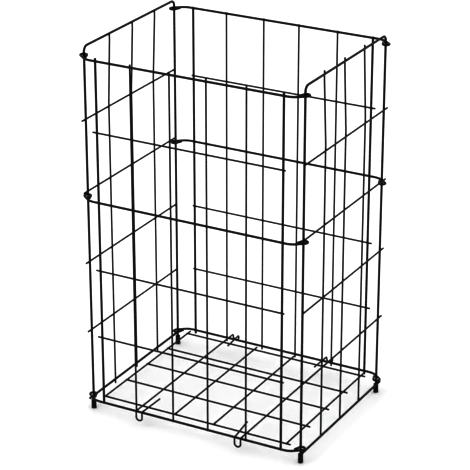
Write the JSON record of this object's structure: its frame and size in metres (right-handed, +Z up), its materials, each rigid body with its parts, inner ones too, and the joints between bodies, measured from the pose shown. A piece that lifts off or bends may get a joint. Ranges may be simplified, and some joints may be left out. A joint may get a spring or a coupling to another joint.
{
  "type": "wire mesh container",
  "caption": "Tall open-topped wire mesh bin whose panels hinge on corner posts by bent rail eyes, with a hooked wire floor that folds up and capped post feet.",
  "frame": {"origin": "centre of the container's footprint, on the ground under the foot caps", "axes": "+Z up, +X to the right and +Y from the front panel to the back panel"},
  "size_m": [0.6254, 0.5134, 0.9845],
  "materials": {
    "frame_coat": "semi-gloss black powder coat on round steel wire",
    "mesh_coat": "semi-gloss black powder coat on thinner round steel wire",
    "foot_rubber": "matt black moulded cap"
  },
  "bodies": {
    "back_panel": {"back_bottom_rail": "frame_coat", "back_middle_rail": "frame_coat", "back_top_rail": "frame_coat", "back_left_edge_upright": "frame_coat", "back_right_edge_upright": "frame_coat", "back_upright_1": "mesh_coat", "back_upright_2": "mesh_coat", "back_upright_3": "mesh_coat", "back_upright_4": "mesh_coat", "back_crosswire_1": "mesh_coat", "back_crosswire_2": "mesh_coat", "back_crosswire_3": "mesh_coat"},
    "left_side": {"left_side_frame": "frame_coat", "left_side_bottom_rail": "frame_coat", "left_side_crosswire_1": "mesh_coat", "left_side_crosswire_2": "mesh_coat", "left_side_crosswire_3": "mesh_coat", "left_side_crosswire_4": "mesh_coat", "left_side_upright_1": "mesh_coat", "left_side_upright_2": "mesh_coat", "left_side_upright_3": "mesh_coat", "left_front_foot": "foot_rubber", "left_rear_foot": "foot_rubber"},
    "right_side": {"right_side_frame": "frame_coat", "right_side_bottom_rail": "frame_coat", "right_side_crosswire_1": "mesh_coat", "right_side_crosswire_2": "mesh_coat", "right_side_crosswire_3": "mesh_coat", "right_side_crosswire_4": "mesh_coat", "right_side_upright_1": "mesh_coat", "right_side_upright_2": "mesh_coat", "right_side_upright_3": "mesh_coat", "right_front_foot": "foot_rubber", "right_rear_foot": "foot_rubber"},
    "front_panel": {"front_bottom_rail": "frame_coat", "front_middle_rail": "frame_coat", "front_top_rail": "frame_coat", "front_left_edge_upright": "frame_coat", "front_right_edge_upright": "frame_coat", "front_upright_1": "mesh_coat", "front_upright_2": "mesh_coat", "front_upright_3": "mesh_coat", "front_upright_4": "mesh_coat", "front_crosswire_1": "mesh_coat", "front_crosswire_2": "mesh_coat", "front_crosswire_3": "mesh_coat"},
    "floor": {"floor_left_edge_wire": "mesh_coat", "floor_left_hook_wire": "mesh_coat", "floor_left_inner_wire": "mesh_coat", "floor_right_inner_wire": "mesh_coat", "floor_right_hook_wire": "mesh_coat", "floor_right_edge_wire": "mesh_coat", "floor_crosswire_1": "mesh_coat", "floor_crosswire_2": "mesh_coat", "floor_crosswire_3": "mesh_coat", "floor_crosswire_4": "mesh_coat", "floor_crosswire_5": "mesh_coat"}
  },
  "joints": [
    {"name": "floor_fold", "type": "hinge", "parent": "back_panel", "child": "floor", "pos_m": [0, 0.2375, 0.0385], "axis": [-1, 0, 0], "range_deg": [0, 65]},
    {"name": "left_corner_hinge", "type": "hinge", "parent": "back_panel", "child": "left_side", "pos_m": [-0.3, 0.2105, 0.5], "axis": [0, 0, 1], "range_deg": [-0.3, 0.3]},
    {"name": "right_corner_hinge", "type": "hinge", "parent": "back_panel", "child": "right_side", "pos_m": [0.3, 0.2105, 0.5], "axis": [0, 0, 1], "range_deg": [-0.3, 0.3]},
    {"name": "front_corner_hinge", "type": "hinge", "parent": "left_side", "child": "front_panel", "pos_m": [-0.3, -0.2195, 0.5], "axis": [0, 0, 1], "range_deg": [-0.3, 0.3]}
  ],
  "couplings": [
    {"joint": "right_corner_hinge", "follows": "left_corner_hinge", "ratio": 1},
    {"joint": "front_corner_hinge", "follows": "left_corner_hinge", "ratio": -1}
  ]
}
